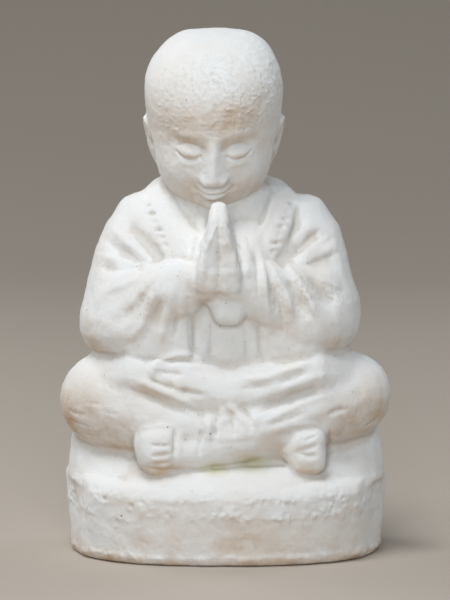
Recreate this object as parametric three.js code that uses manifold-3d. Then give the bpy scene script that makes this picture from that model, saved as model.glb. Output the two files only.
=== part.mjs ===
// A cast white stone statue of a small monk, a jizo, who sits cross-legged on an oval base with
// bowed head and palms pressed together. Figure and base are one casting, so it is one solid.
// Millimetres, +Z up. The figure faces -Y, and the origin is the middle of the flat underside.
import * as THREE from "three";
import { LoftGeometry } from "three/addons/geometries/LoftGeometry.js";
import { ImprovedNoise } from "three/addons/math/ImprovedNoise.js";
import { mergeVertices } from "three/addons/utils/BufferGeometryUtils.js";
import Module from "manifold-3d";

// ---- Driving dimensions ----
const LEFT = -1; // the side on the viewer's left, the figure's own right
const RIGHT = 1;
const BASE = { wide: 181, deep: 130, rim: 50, sag: 4.5, shoulder: 30, power: 2.35 };
const SEAT = { wide: 180, deep: 114, top: 84 };
const KNEES = {
  [LEFT]: { out: 67, y: -12, z: 87.4, r: 27.3 },
  [RIGHT]: { out: 68.5, y: -12, z: 90.2, r: 25 },
};
const HIP = { out: 28, y: 22, z: 92 };
const WAIST_Z = 100;
const COLLAR_Z = 206;
const HEAD = { x: -7, y: -9, z: 247, wide: 75.5, deep: 88, tall: 43, bow: 20 };
// How much fuller than round the top of the skull is, to each side.
const CROWN = {
  [LEFT]: { lift: 1, turn: 20, wide: 12 },
  [RIGHT]: { lift: 2, turn: 28, wide: 17 },
};
const PALMS = { x: -4, low: 150, tip: 204, y: -53 };

const wasm = await Module();
wasm.setup();
const noise = new ImprovedNoise();
const vec = (x, y, z) => new THREE.Vector3(x, y, z);
const degrees = THREE.MathUtils.degToRad;

// ---- Ways of making a form ----

// A closed three.js geometry as a solid that can be joined and cut.
function solid(geometry) {
  const bare = new THREE.BufferGeometry();
  bare.setAttribute("position", geometry.attributes.position);
  bare.setIndex(geometry.index);
  const merged = mergeVertices(bare, 1e-3);
  const mesh = new wasm.Mesh({
    numProp: 3,
    vertProperties: merged.attributes.position.array,
    triVerts: new Uint32Array(merged.index.array),
  });
  return new wasm.Manifold(mesh);
}

// A solid as a three.js geometry.
function geometryOf(shape) {
  const mesh = shape.getMesh();
  const points = new THREE.BufferAttribute(mesh.vertProperties.slice(), 3);
  const triangles = new THREE.BufferAttribute(mesh.triVerts.slice(), 1);
  return new THREE.BufferGeometry().setAttribute("position", points).setIndex(triangles);
}

// A superellipse of points round a centre, in the plane of two half-axes.
function ring(centre, across, deep, count, power = 2) {
  return Array.from({ length: count }, (_, i) => {
    const turn = (2 * Math.PI * i) / count;
    const [c, s] = [Math.cos(turn), Math.sin(turn)];
    const reach = (Math.abs(c) ** power + Math.abs(s) ** power) ** (-1 / power);
    return centre.clone().addScaledVector(across, c * reach).addScaledVector(deep, s * reach);
  });
}

// A mass built up in level rings: each level is [z, low x, high x, low y, high y], bottom to top.
function stack(levels, { sides = 28, steps = 2, power = 2.3, crown = 0 } = {}) {
  const middle = new THREE.CatmullRomCurve3(
    levels.map(([z, x0, x1, y0, y1]) => vec((x0 + x1) / 2, (y0 + y1) / 2, z)),
  );
  const halves = new THREE.CatmullRomCurve3(
    levels.map(([, x0, x1, y0, y1]) => vec((x1 - x0) / 2, (y1 - y0) / 2, 0)),
  );
  const rings = [];
  const last = (levels.length - 1) * steps;
  const level = (at, size, rise, share) =>
    ring(
      vec(at.x, at.y, at.z + rise),
      vec(size.x * share, 0, 0),
      vec(0, size.y * share, 0),
      sides,
      power,
    );
  for (let i = 0; i <= last; i++)
    rings.push(level(middle.getPoint(i / last), halves.getPoint(i / last), 0, 1));
  for (const tilt of crown ? [35, 68] : [])
    rings.push(
      level(
        middle.getPoint(1),
        halves.getPoint(1),
        crown * Math.sin(degrees(tilt)),
        Math.cos(degrees(tilt)),
      ),
    );
  return solid(new LoftGeometry(rings, { capStart: true, capEnd: true }));
}

// A limb along a smooth line of stations [x, y, z, half width, half depth], with round ends.
function limb(stations, { sides = 16, steps = 3, up = vec(0, 0, 1), power = 2, round = 1 } = {}) {
  const line = new THREE.CatmullRomCurve3(stations.map(([x, y, z]) => vec(x, y, z)));
  const sizes = new THREE.CatmullRomCurve3(stations.map(([, , , a, b = a]) => vec(a, b, 0)));
  const rings = [];
  const section = (t, ahead, share) => {
    const tangent = line.getTangent(t);
    const size = sizes.getPoint(t);
    const across = vec().crossVectors(up, tangent).normalize();
    const deep = vec().crossVectors(tangent, across);
    const centre = line.getPoint(t).addScaledVector(tangent, ahead * Math.min(size.x, size.y));
    rings.push(
      ring(
        centre,
        across.multiplyScalar(size.x * share),
        deep.multiplyScalar(size.y * share),
        sides,
        power,
      ),
    );
  };
  const bends = [55];
  for (const a of bends) section(0, -round * Math.sin(degrees(a)), Math.cos(degrees(a)));
  const last = (stations.length - 1) * steps;
  for (let i = 0; i <= last; i++) section(i / last, 0, 1);
  for (const a of bends.toReversed())
    section(1, round * Math.sin(degrees(a)), Math.cos(degrees(a)));
  return solid(new LoftGeometry(rings, { capStart: true, capEnd: true }));
}

// An ellipsoid with its half-axes along X, Y and Z.
function ball([x, y, z], [a, b, c], sides = 20) {
  const geometry = new THREE.SphereGeometry(1, sides, Math.round(sides * 0.6));
  geometry.rotateX(Math.PI / 2);
  geometry.scale(a, b, c);
  geometry.translate(x, y, z);
  return solid(geometry);
}

const join = (...shapes) => wasm.Manifold.union(shapes.flat());

// The outer skin of a casting, with any void between its joined masses filled.
function filled(shape) {
  return shape.decompose().reduce((a, b) => (b.volume() > a.volume() ? b : a));
}

// Finds places on the skin of a shape, looking along a direction of travel.
function skinOf(shape) {
  const geometry = geometryOf(shape);
  geometry.computeBoundingSphere();
  const mesh = new THREE.Mesh(geometry, new THREE.MeshBasicMaterial({ side: THREE.DoubleSide }));
  const ray = new THREE.Raycaster();
  return (from, towards) => {
    ray.set(from, towards);
    return ray.intersectObject(mesh)[0];
  };
}

// A carver's stroke over the skin, seen from the front or the back: marks are [x, z] places.
// A round bar lies in the skin along the marks, so wide and so deep in the middle and running out
// at both ends. It is a furrow when it is cut away, and a fold, lying inside, when it is joined.
function stroke(skin, marks, wide, deep, { fold = false, back = false } = {}) {
  const seen = new THREE.CatmullRomCurve3(marks.map(([x, z]) => vec(x, 0, z)));
  const facing = vec(0, back ? 1 : -1, 0);
  const r = (wide ** 2 / 4 + deep ** 2) / (2 * deep);
  const pieces = Math.max(4, Math.round(seen.getLength() / 9));
  const touched = [];
  for (let i = 0; i <= pieces; i++) {
    const from = seen.getPointAt(i / pieces).addScaledVector(facing, 200);
    const hit = skin(from, facing.clone().negate());
    if (hit) touched.push(hit);
  }
  const last = touched.length - 1;
  const stations = touched.map(({ point }, i) => {
    const around = [-1, 0, 0, 1].map((d) => touched[THREE.MathUtils.clamp(i + d, 0, last)]);
    const out = facing.clone().multiplyScalar(3);
    for (const { face } of around) out.add(face.normal);
    const y = around.reduce((sum, hit) => sum + hit.point.y / 4, 0);
    const bite = deep * Math.sin(Math.PI * (0.02 + (0.96 * i) / last)) ** 0.7;
    out.normalize().multiplyScalar(fold ? bite - r : r - bite);
    return [point.x + out.x, y + out.y, point.z + out.z, r];
  });
  return limb(stations, { sides: 6, steps: 1, up: vec(0, facing.y, 0.01), round: 0.5 });
}

// ---- The base and the seat above it ----

// The oval base: a plain wall with two flats at its front corners, a worn and chipped upper
// band, and a top that the seat stands on.
function base() {
  const { wide, deep, rim, sag, shoulder, power } = BASE;
  const profile = [
    [0, -4.6],
    [2.5, -2.8],
    [shoulder, 0],
    [rim - 6, 0.6],
    [rim - 1.5, -2],
    [rim, -7],
  ];
  const flats = [
    [vec(0.93, -0.37, 0), wide * 0.467],
    [vec(-0.95, -0.31, 0), wide * 0.474],
  ];
  const rings = profile.map(([z, inset], level) =>
    ring(
      vec(0, 0, z),
      vec(wide / 2 + inset, 0, 0),
      vec(0, deep / 2 + inset, 0),
      36,
      power,
    ).map((p) => {
      for (const [normal, far] of flats)
        p.addScaledVector(normal, Math.min(0, far + inset - p.dot(normal)));
      const wear = level > 1 ? 1.6 : 0.5;
      const chip = noise.noise(p.x / 15, p.y / 15, p.z / 9 + 3) * wear;
      const inwards = 1 + chip / Math.hypot(p.x, p.y);
      const drop = level > 2 ? sag * Math.max(0, -p.y / (deep / 2)) - chip * 0.8 : 0;
      return vec(p.x * inwards, p.y * inwards, p.z - drop);
    }),
  );
  return solid(new LoftGeometry(rings, { capStart: true, capEnd: true }));
}

// The block under the crossed legs, which flows out from the base and hides behind the knees.
function seat() {
  const { wide, deep, top } = SEAT;
  const [w, d] = [wide / 2, deep / 2];
  return stack(
    [
      [BASE.rim - 8, -w, w, -d + 1, d],
      [BASE.rim + 3, -w + 0.5, w - 0.5, -d + 8, d - 1],
      [BASE.rim + 13, -w + 1.5, w - 1, -d + 20, d - 4],
      [top, -w + 9, w - 8, -d + 30, d - 8],
    ],
    { sides: 28, steps: 1, power: 2.5, crown: 6 },
  );
}

// ---- Legs, feet and lap ----

// A thigh that runs out to the knee, and the round knee itself.
function thigh(side) {
  const { out, y, z, r } = KNEES[side];
  return [
    limb(
      [
        [side * HIP.out, HIP.y, HIP.z, 24],
        [side * 50, 4, (HIP.z + z) / 2 + 0.5, r],
        [side * (out - 1), y + 4, z, r],
      ],
      { sides: 14, steps: 2 },
    ),
    ball([side * out, y, z], [r, r + 3, r], 16),
  ];
}

// The shins fold back from the knees to the middle, the viewer's right one over the other.
function shins() {
  const start = (side) => {
    const { out, y, z, r } = KNEES[side];
    return [side * (out - 3), y - 4, z - 1, r];
  };
  const under = limb(
    [
      start(LEFT),
      [LEFT * 49, -26, 84, 25],
      [LEFT * 22, -35, 76, 20],
      [26, -36, 66, 13],
    ],
    { sides: 14, steps: 2 },
  );
  const over = limb(
    [
      start(RIGHT),
      [RIGHT * 47, -28, 84, 23],
      [RIGHT * 15, -40, 75, 18],
      [-14, -43, 64, 13.5],
      [-27, -45, 62, 12.5],
    ],
    { sides: 14, steps: 2 },
  );
  return [under, over];
}

// A bare foot lying on its side, with the toes marked by grooves across its end.
function foot(side, [x, y, z], length, half) {
  const form = limb(
    [
      [x, y, z, half * 0.72, half * 0.78],
      [x + side * length * 0.4, y - 1, z, half * 0.9, half],
      [x + side * length * 0.8, y - 1, z - 1, half * 0.82, half * 0.96],
      [x + side * length, y + 1, z - 2, half * 0.66, half * 0.74],
    ],
    { sides: 10, steps: 1, up: vec(0, 0, 1), power: 2.8, round: 0.5 },
  );
  const skin = skinOf(form);
  const toes = [-0.45, 0, 0.45].map((share) => {
    const line = z + share * half * 0.9;
    const marks = [
      [x + side * length * 0.42, line],
      [x + side * length * 0.95, line - 1],
    ];
    return stroke(skin, marks, 2.6, 1);
  });
  return form.subtract(join(toes));
}

// The robe over the lap, sagging between the thighs, and spread around the hips behind.
function lap() {
  const spread = stack(
    [
      [66, -66, 64, -10, 47],
      [84, -68, 66, -14, 50],
      [102, -70, 65, -20, 50],
      [119, -73, 67, -22, 45],
    ],
    { sides: 22, steps: 1, power: 2.2 },
  );
  const drawn = limb(
    [
      [-67, -16, 98, 17.5],
      [-48, -31, 104, 20],
      [-22, -35, 99, 19],
      [2, -37, 93, 17],
      [25, -35, 100, 18],
      [46, -31, 105, 20],
      [66, -16, 99, 17.5],
    ],
    { sides: 12, steps: 1 },
  );
  return [spread, drawn, ball([-3, -30, 82], [34, 20, 20], 14)];
}

// The gathered hem where the trouser leg ends at the ankle: short upright folds.
function hem() {
  return [-12, -6.5, 0, 6].map((dx, i) =>
    limb(
      [
        [dx + 4, -46, 86 - i * 0.5, 4.6],
        [dx + 1.5, -51.5 + i * 0.4, 78, 5.4],
        [dx, -51.5 + i * 0.4, 68, 4.8],
      ],
      { sides: 7, steps: 1, up: vec(1, 0, 0) },
    ),
  );
}

// ---- Body and sleeves ----

function torso() {
  return stack(
    [
      [WAIST_Z - 16, -54, 52, -30, 47],
      [WAIST_Z + 10, -53, 51, -30, 46],
      [WAIST_Z + 40, -54, 50, -32, 45],
      [WAIST_Z + 65, -57, 51, -34, 43],
      [COLLAR_Z - 22, -58, 51, -32, 39],
      [COLLAR_Z - 9, -49, 41, -28, 34],
      [COLLAR_Z - 1, -37, 28, -24, 28],
    ],
    { sides: 26, steps: 1, crown: 7, power: 2.5 },
  );
}

// A wide hanging sleeve: shoulder, bent elbow and the cloth that falls to the thigh. Each level
// is height, inner edge, outer edge, front and back; the two arms aren't quite a pair.
const SLEEVES = {
  [LEFT]: [
    [112, 20, 68, -22, 26],
    [118, 17, 79, -44, 30],
    [126, 15, 83, -49, 32],
    [135, 14, 83, -50, 33],
    [145, 15, 80.5, -48, 34],
    [158, 17, 77.5, -43, 34],
    [172, 20, 74, -34, 33],
    [185, 24, 68.5, -26, 30],
    [195, 28, 62, -18, 25],
  ],
  [RIGHT]: [
    [112, 17, 58, -22, 26],
    [118, 13, 70, -44, 30],
    [126, 11, 75, -49, 32],
    [135, 11, 76.5, -50, 33],
    [145, 12, 75.5, -48, 34],
    [158, 14, 71, -43, 34],
    [172, 17, 68, -34, 33],
    [184, 21, 64.5, -26, 30],
    [194, 24, 57.5, -18, 25],
  ],
};

function sleeve(side) {
  const levels = SLEEVES[side].map(([z, inner, outer, front, back]) => {
    const xs = [side * inner, side * outer];
    return [z, Math.min(...xs), Math.max(...xs), front, back];
  });
  return stack(levels, { sides: 20, steps: 1, crown: 9, power: 2.15 });
}

// The forearm that rises inwards from the elbow to the wrist.
function forearm(side) {
  return limb(
    [
      [side * 58 - 3, -25, 137, 18, 21],
      [side * 38 - 4, -36, 146, 15.5, 22],
      [side * 22 - 4, -42, 154, 12.5, 18],
      [side * 12 - 4, -47, 161, 10, 12],
    ],
    { sides: 12, steps: 1 },
  );
}

// Two palms pressed together with the fingers up, seen edge on.
function hand(side) {
  const { x, low, tip, y } = PALMS;
  const fit = (z, thick, front, back) => [
    z,
    Math.min(x - side, x + side * thick),
    Math.max(x - side, x + side * thick),
    y + front,
    y + back,
  ];
  const palm = stack(
    [
      fit(low - 2, 14, -2, 20),
      fit(low + 6, 13.5, -6, 20),
      fit(low + 17, 11, -8, 17),
      fit(low + 29, 8.5, -9, 15),
      fit(low + 39, 6, -8, 13),
    ],
    { sides: 12, steps: 1, power: 2.4, crown: 4 },
  );
  const fingers = [
    [-6, 0.62],
    [-2, 0.82],
    [3, 1],
    [8, 0.94],
  ].map(([dy, share]) =>
    limb(
      [
        [x + side * 4, y + dy, low + 30, 4.2],
        [x + side * 3, y + dy, low + (tip - low) * (0.6 + 0.26 * share), 3.2],
        [x + side * 1.9, y + dy, low + (tip - low - 2.4) * (0.66 + 0.34 * share), 2.4],
      ],
      { sides: 7, steps: 1, up: vec(1, 0, 0) },
    ),
  );
  return [palm, ...fingers];
}

// The wide band of the robe's collar, from the nape over one side of the chest.
function lapel(side) {
  const [a, b, c, d] = side === LEFT ? [-39, -34, -27, -20] : [30, 30, 24, 18];
  return limb(
    [
      [side * 3 - 4, 23, 206, 8, 6],
      [(a - 4) * 0.72, 17, 206, 9, 6],
      [a, -5, 204, 10, 4.6],
      [b, -25, 189, 10, 3.4],
      [c, -37, 172, 9.5, 3.2],
      [d, -42, 161, 8, 3],
    ],
    { sides: 10, steps: 2, up: vec(side * 0.35, -0.9, 0.35) },
  );
}

// The sash below the hands: two hanging bands and a round knot between them.
function sash() {
  const bands = [LEFT, RIGHT].map((side) =>
    limb(
      [
        [side * 14.5, -40.5, 152, 4.2, 2.2],
        [side * 14.5, -41, 135, 4.4, 2.4],
        [side * 15, -41.5, 116, 4.4, 2.6],
      ],
      { sides: 8, steps: 1, up: vec(0, -1, 0) },
    ),
  );
  const belly = stack(
    [
      [108, -25, 24, -40, -10],
      [130, -25, 24, -40, -10],
      [152, -23, 22, -40, -10],
    ],
    { sides: 16, steps: 1, power: 3 },
  );
  return [...bands, belly, ball([0, -39, 140], [8, 7, 8.5], 10)];
}

// ---- Head ----

// How far a ray from the middle of the head travels before it leaves an ellipsoid.
function exit(d, [cx, cy, cz], [a, b, c]) {
  const [dx, dy, dz] = [d.x / a, d.y / b, d.z / c];
  const [ox, oy, oz] = [-cx / a, -cy / b, -cz / c];
  const dd = dx * dx + dy * dy + dz * dz;
  const od = ox * dx + oy * dy + oz * dz;
  const inside = od * od - dd * (ox * ox + oy * oy + oz * oz - 1);
  return inside > 0 ? (-od + Math.sqrt(inside)) / dd : 0;
}

// A soft swelling or hollow of the face: height, middle in degrees, and spread in degrees.
const FEATURES = [
  { lift: 6.5, side: 0, rise: -21, wide: 8, tall: 6 }, // tip of the nose
  { lift: 3.5, side: 0, rise: -10, wide: 7, tall: 10 }, // bridge of the nose
  { lift: -2.8, side: 20, rise: 0, wide: 11, tall: 6 }, // eye sockets
  { lift: 2.2, side: 20, rise: -7, wide: 9, tall: 4.5 }, // closed lids
  { lift: 1.2, side: 18, rise: 7, wide: 13, tall: 5 }, // brows
  { lift: 1.8, side: 33, rise: -24, wide: 14, tall: 11 }, // cheeks
  { lift: 2.4, side: 0, rise: -35, wide: 13, tall: 5 }, // lips
  { lift: 2.8, side: 0, rise: -52, wide: 13, tall: 8 }, // chin
];

// The shaven head, a full skull over a small round face of the maker's own plain design.
function head() {
  const { wide, deep, tall, bow, x, y, z } = HEAD;
  const skull = { at: [0, 3, 6], half: [wide / 2, deep / 2 - 1, tall] };
  const jaw = { at: [0, -9, -17], half: [wide / 2 - 5, deep / 2 - 11, tall - 9] };
  const geometry = new THREE.SphereGeometry(1, 26, 18);
  geometry.rotateX(Math.PI / 2);
  const points = geometry.attributes.position;
  const away = vec();
  for (let i = 0; i < points.count; i++) {
    away.fromBufferAttribute(points, i);
    const turn = Math.atan2(away.x, -away.y);
    const crowd = turn - 0.42 * Math.sin(turn); // more points on the face than on the nape
    const climb = Math.asin(THREE.MathUtils.clamp(away.z, -1, 1));
    const rank = climb - 0.22 * Math.cos(climb) ** 2; // and more below the brow than above it
    const flat = Math.cos(rank);
    away.set(flat * Math.sin(crowd), -flat * Math.cos(crowd), Math.sin(rank));
    const reaches = [skull, jaw].map(({ at, half }) => exit(away, at, half));
    const power = 14;
    let reach = reaches.reduce((sum, r) => sum + r ** power, 0) ** (1 / power);
    reach *= 1 + 0.1 * (away.x * away.z) ** 2 * (away.z > 0 ? 4 : 0); // square shoulders of the skull
    const rise = THREE.MathUtils.radToDeg(Math.asin(away.z));
    const side = THREE.MathUtils.radToDeg(Math.abs(crowd));
    reach += fuller(away.clone().applyAxisAngle(vec(1, 0, 0), degrees(bow)));
    for (const f of FEATURES)
      reach += f.lift * Math.exp(-(((side - f.side) / f.wide) ** 2) - ((rise - f.rise) / f.tall) ** 2);
    points.setXYZ(i, away.x * reach, away.y * reach, away.z * reach);
  }
  const ears = [LEFT, RIGHT].map((s) => ear(s, wide / 2));
  const form = join(solid(geometry), ears);
  return form.rotate([bow, 0, 0]).translate([x, y, z]);
}

// How far the crown stands above a round one, along a direction from the middle of the head.
function fuller({ x, y, z }) {
  const { lift, turn, wide } = CROWN[x < 0 ? LEFT : RIGHT];
  const lean = THREE.MathUtils.radToDeg(Math.atan2(Math.abs(x), z));
  return lift * Math.exp(-(((lean - turn) / wide) ** 2) - (y / 0.55) ** 2);
}

// An ear: a flat shell with a hollow in it and a long lobe that leans in to the jaw.
function ear(side, out) {
  const placed = (radii, across, y, z, sides) => {
    const lump = new THREE.SphereGeometry(1, sides, sides - 3);
    lump.rotateX(Math.PI / 2);
    lump.scale(...radii);
    lump.rotateY(side * degrees(14));
    lump.rotateZ(-side * degrees(28));
    lump.translate(side * (out + across), y, z);
    return solid(lump);
  };
  const shell = placed([3.2, 7.6, 17], -3.3, 1, -15, 10);
  return shell.subtract(placed([2.2, 4.4, 7.4], -0.9, -2, -10, 7));
}

function neck() {
  return stack(
    [
      [196, -28, 18, -24, 24],
      [212, -25, 13, -22, 22],
      [230, -24, 10, -22, 20],
    ],
    { sides: 18 },
  );
}

// ---- Drapery ----

// Strokes of the front, each [width, depth, marks]. Furrows are cut and folds stand proud. On the
// sleeves they fan out from the crook of each elbow.
const FURROWS = [
  [14, 3.6, [[-72, 178], [-57, 172.5], [-40, 164]]],
  [9, 2.6, [[-60, 190], [-47, 181], [-36, 170]]],
  [7, 1.6, [[-73, 163], [-65, 164], [-55, 163.5]]],
  [12, 2.4, [[-66, 133], [-55, 142], [-45, 153]]],
  [11, 2.4, [[-44, 128], [-38, 140], [-31, 153]]],
  [14, 3.6, [[31, 169], [45, 180], [62, 181]]],
  [8, 1.8, [[41, 164.5], [54, 166], [66, 167]]],
  [14, 2.8, [[43, 160], [52, 152], [61, 143]]],
  [8, 2, [[19, 166], [25, 150], [28, 134]]],
  [9, 2.2, [[-44, 111], [-39, 104], [-30, 99], [-18, 92]]],
  [10, 2, [[17, 80], [36, 88], [56, 98]]],
  [9, 1.8, [[19, 68], [42, 75], [62, 84]]],
];
const FOLDS = [
  [12, 2.2, [[-50, 165], [-60, 156], [-69, 147]]],
  [10, 1.8, [[-39, 163], [-50, 150], [-60, 139]]],
  [12, 2.2, [[36, 166], [45, 149], [52, 133]]],
  [8, 1.6, [[17, 168], [20, 154], [22, 140]]],
  [9, 1.8, [[6, 102], [22, 102], [36, 104], [46, 108]]],
];

// Long plain folds down the back of the robe.
const BACK_FURROWS = [-38, -17, 6, 28].map((x, i) => [
  14,
  2.6,
  [
    [x * 0.7 - 3, 186 - 5 * (i % 2)],
    [x, 148],
    [x * 1.2, 104 + 6 * (i % 2)],
  ],
]);

// ---- The statue ----

function statue() {
  const legs = [...thigh(LEFT), ...thigh(RIGHT), ...shins(), ...lap()];
  const body = [torso(), sleeve(LEFT), sleeve(RIGHT), forearm(LEFT), forearm(RIGHT)];
  const draped = join(base(), seat(), legs, body, lapel(LEFT), lapel(RIGHT));
  const skin = skinOf(draped);
  const furrows = FURROWS.map(([wide, deep, marks]) => stroke(skin, marks, wide, deep));
  const folds = FOLDS.map(([wide, deep, marks]) => stroke(skin, marks, wide, deep, { fold: true }));
  const behind = BACK_FURROWS.map(([wide, deep, marks]) =>
    stroke(skin, marks, wide, deep, { back: true }),
  );
  const carved = draped.subtract(join(furrows, behind));
  return join(
    carved,
    folds,
    foot(LEFT, [-28, -45, 64], 16.5, 16),
    foot(RIGHT, [30, -39, 68.5], 20, 14.5),
    hem(),
    sash(),
    hand(LEFT),
    hand(RIGHT),
    neck(),
    head(),
  );
}

const limestone = new THREE.MeshStandardMaterial({
  color: 0xe9e6df,
  roughness: 0.92,
  metalness: 0,
});
const figure = new THREE.Mesh(geometryOf(filled(statue())), limestone);
figure.name = "statue";

const group = new THREE.Group();
group.add(figure);
export default group;
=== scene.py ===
import math

import bmesh
import bpy
import numpy as np
from mathutils import Matrix, Vector, noise
from mathutils.bvhtree import BVHTree


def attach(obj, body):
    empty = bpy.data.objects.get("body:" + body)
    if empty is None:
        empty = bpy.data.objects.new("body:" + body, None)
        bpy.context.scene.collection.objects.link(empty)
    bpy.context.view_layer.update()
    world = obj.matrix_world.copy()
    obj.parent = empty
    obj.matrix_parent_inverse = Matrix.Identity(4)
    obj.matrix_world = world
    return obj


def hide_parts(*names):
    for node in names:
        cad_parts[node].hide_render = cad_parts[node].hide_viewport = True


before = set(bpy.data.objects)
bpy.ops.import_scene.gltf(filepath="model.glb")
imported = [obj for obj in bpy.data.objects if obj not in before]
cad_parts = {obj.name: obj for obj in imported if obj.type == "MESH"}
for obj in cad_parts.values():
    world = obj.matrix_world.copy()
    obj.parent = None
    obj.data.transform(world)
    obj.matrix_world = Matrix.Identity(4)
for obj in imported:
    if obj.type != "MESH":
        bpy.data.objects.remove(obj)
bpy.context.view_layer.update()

# ---- The casting as it comes out of the mould ----
# Figure, seat and base are one solid casting of white stone mix, poured in a mould and cleaned up
# by hand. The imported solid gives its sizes, and its flat facets are worn round here.
MM = 0.001
COARSE_SKIN = 1.5  # mm between the points of the first skin
COARSE_RUBS = 16  # rounds of smoothing that wear its facets away
JOINED = 0.01  # mm within which loose corners are one point


def skin_over(shells, spacing, rounds):
    """One even skin over a set of closed shells, with its steps rubbed away."""
    holder = bpy.data.objects.new("shells", bpy.data.meshes.new("shells"))
    shells.to_mesh(holder.data)
    shells.free()
    bpy.context.scene.collection.objects.link(holder)
    skin = holder.modifiers.new("skin", "REMESH")
    skin.mode = "VOXEL"
    skin.voxel_size = spacing * MM
    worn = holder.modifiers.new("worn", "SMOOTH")
    worn.factor = 0.5
    worn.iterations = rounds
    seen = holder.evaluated_get(bpy.context.evaluated_depsgraph_get())
    mesh = bpy.data.meshes.new_from_object(seen)
    bpy.data.objects.remove(holder)
    return mesh


casting = bmesh.new()
casting.from_mesh(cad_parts["statue"].data)
bmesh.ops.remove_doubles(casting, verts=casting.verts, dist=JOINED * MM)
rough_cast = skin_over(casting, COARSE_SKIN, COARSE_RUBS)

shells = bmesh.new()
shells.from_mesh(rough_cast)


def pebble(*ends):
    """A smooth pebble: the hull of two or more round ends, each (x, y, z, radius) in mm."""
    lump = bmesh.new()
    for *place, radius in ends:
        at = Matrix.Translation(Vector(place) * MM)
        bmesh.ops.create_icosphere(lump, subdivisions=2, radius=radius * MM, matrix=at)
    bmesh.ops.delete(lump, geom=lump.faces[:], context="FACES_ONLY")
    hull = bmesh.ops.convex_hull(lump, input=lump.verts[:])
    spare = {item for item in hull["geom_interior"] + hull["geom_unused"] if item.is_valid}
    spare = [item for item in spare if isinstance(item, bmesh.types.BMVert)]
    bmesh.ops.delete(lump, geom=spare, context="VERTS")
    mesh = bpy.data.meshes.new("pebble")
    lump.to_mesh(mesh)
    lump.free()
    shells.from_mesh(mesh)
    bpy.data.meshes.remove(mesh)


def roll(*stations):
    """A roll of clay laid along stations, each (x, y, z, radius) in mm."""
    for start, end in zip(stations, stations[1:]):
        pebble(start, end)


# ---- The base's form ----
# An oval slab with an upright wall, a flat worn on each front corner, and a worn upper edge that
# sinks a little to the front.
BASE_BOX = Vector((181, 130))
BASE_POWER = 2.35
# Each level of the slab is a height and how far it stands out from the box.
BASE_LEVELS = [(0.3, -4.6), (2.5, -2.8), (30, 0), (42.5, 0.5), (47.5, -2), (49.5, -6.5), (53, -15)]
BASE_SAG = 4.5
SAGS_OVER = 2  # the levels over this one sink
FLAT_WORN = 0.9  # how much of what stands over a flat is worn away
BASE_FLATS = [(0.93, -0.37, 84.4), (-0.95, -0.31, 85.7)]  # facing x and y, and how far out

slab = bmesh.new()
bmesh.ops.create_circle(slab, segments=180, radius=1)
rim = slab.edges[:]
for _ in BASE_LEVELS[1:]:
    raised = bmesh.ops.extrude_edge_only(slab, edges=rim)["geom"]
    rim = [item for item in raised if isinstance(item, bmesh.types.BMEdge)]
    risen = [item for item in raised if isinstance(item, bmesh.types.BMVert)]
    bmesh.ops.translate(slab, verts=risen, vec=(0, 0, 1))
bmesh.ops.holes_fill(slab, edges=slab.edges[:], sides=0)
for vert in slab.verts:
    level = round(vert.co.z)
    z, inset = BASE_LEVELS[level]
    c, s, _ = vert.co
    reach = (abs(c) ** BASE_POWER + abs(s) ** BASE_POWER) ** (-1 / BASE_POWER)
    x = c * reach * (BASE_BOX.x / 2 + inset)
    y = s * reach * (BASE_BOX.y / 2 + inset)
    for nx, ny, far in BASE_FLATS:
        over = max(0, x * nx + y * ny - far)
        x, y = x - nx * over * FLAT_WORN, y - ny * over * FLAT_WORN
    if level > SAGS_OVER:
        z -= BASE_SAG * max(0, -y / (BASE_BOX.y / 2))
    vert.co = Vector((x, y, z)) * MM
bmesh.ops.recalc_face_normals(slab, faces=slab.faces[:])
slab_mesh = bpy.data.meshes.new("slab")
slab.to_mesh(slab_mesh)
slab.free()
shells.from_mesh(slab_mesh)
# Its top runs up to the feet in a worn slope.
SLOPE = [
    (-30, -50, 51.5, 2.6),
    (32, -49, 52, 2.6),
    (0, -58.5, 45, 3),
    (-34, -56, 44.4, 3),
    (36, -55, 44.4, 3),
    (-54, -47, 44, 3),
    (54, -46.4, 44, 3),
    (-52, -40, 50, 3),
    (52, -39, 50, 3),
]
pebble(*SLOPE)

# ---- The shaven head ----
# A full skull over a small round jaw, bowed over the hands. The face is the maker's own plain
# one: calm, with closed lids, and laid out by the usual proportions of a child's head.
HEAD_AT = Vector((-7, -9, 247))
HEAD_BOW = math.radians(20)
HEAD_TURN = Matrix.Rotation(HEAD_BOW, 3, "X")
SKULL = {"at": (0, 3, 6), "half": (37.9, 43.1, 43.1)}
JAW = {"at": (0, -9, -17), "half": (32.9, 33.1, 34.1)}
BLEND = 14
SQUARENESS = 0.4
CROWN_LONG = 0.55  # how far to the front and back the crown's fullness runs
CROWN = {-1: (1, 20, 12), 1: (2, 28, 17)}  # lift in mm, turn and spread, to each side of the top


def reach_of(away, form):
    """How far a ray from the middle of the head goes before it leaves an ellipsoid."""
    ray = away / np.array(form["half"])
    start = -np.array(form["at"]) / np.array(form["half"])
    squared = (ray * ray).sum(1)
    along = ray @ start
    inside = along * along - squared * (start @ start - 1)
    return np.where(inside > 0, (np.sqrt(np.maximum(inside, 0)) - along) / squared, 0)


def head_radius(away):
    """The plain head's radius along each direction, before the face is cut."""
    both = reach_of(away, SKULL) ** BLEND + reach_of(away, JAW) ** BLEND
    square = 1 + SQUARENESS * (away[:, 0] * away[:, 2]) ** 2 * (away[:, 2] > 0)
    x, y, z = np.array(HEAD_TURN) @ away.T
    lean = np.degrees(np.arctan2(np.abs(x), z))
    fuller = 0
    for side, (lift, turn, spread) in CROWN.items():
        across = ((lean - turn) / spread) ** 2
        fuller += lift * (x * side > 0) * np.exp(-across - (y / CROWN_LONG) ** 2)
    return both ** (1 / BLEND) * square + fuller


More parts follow.
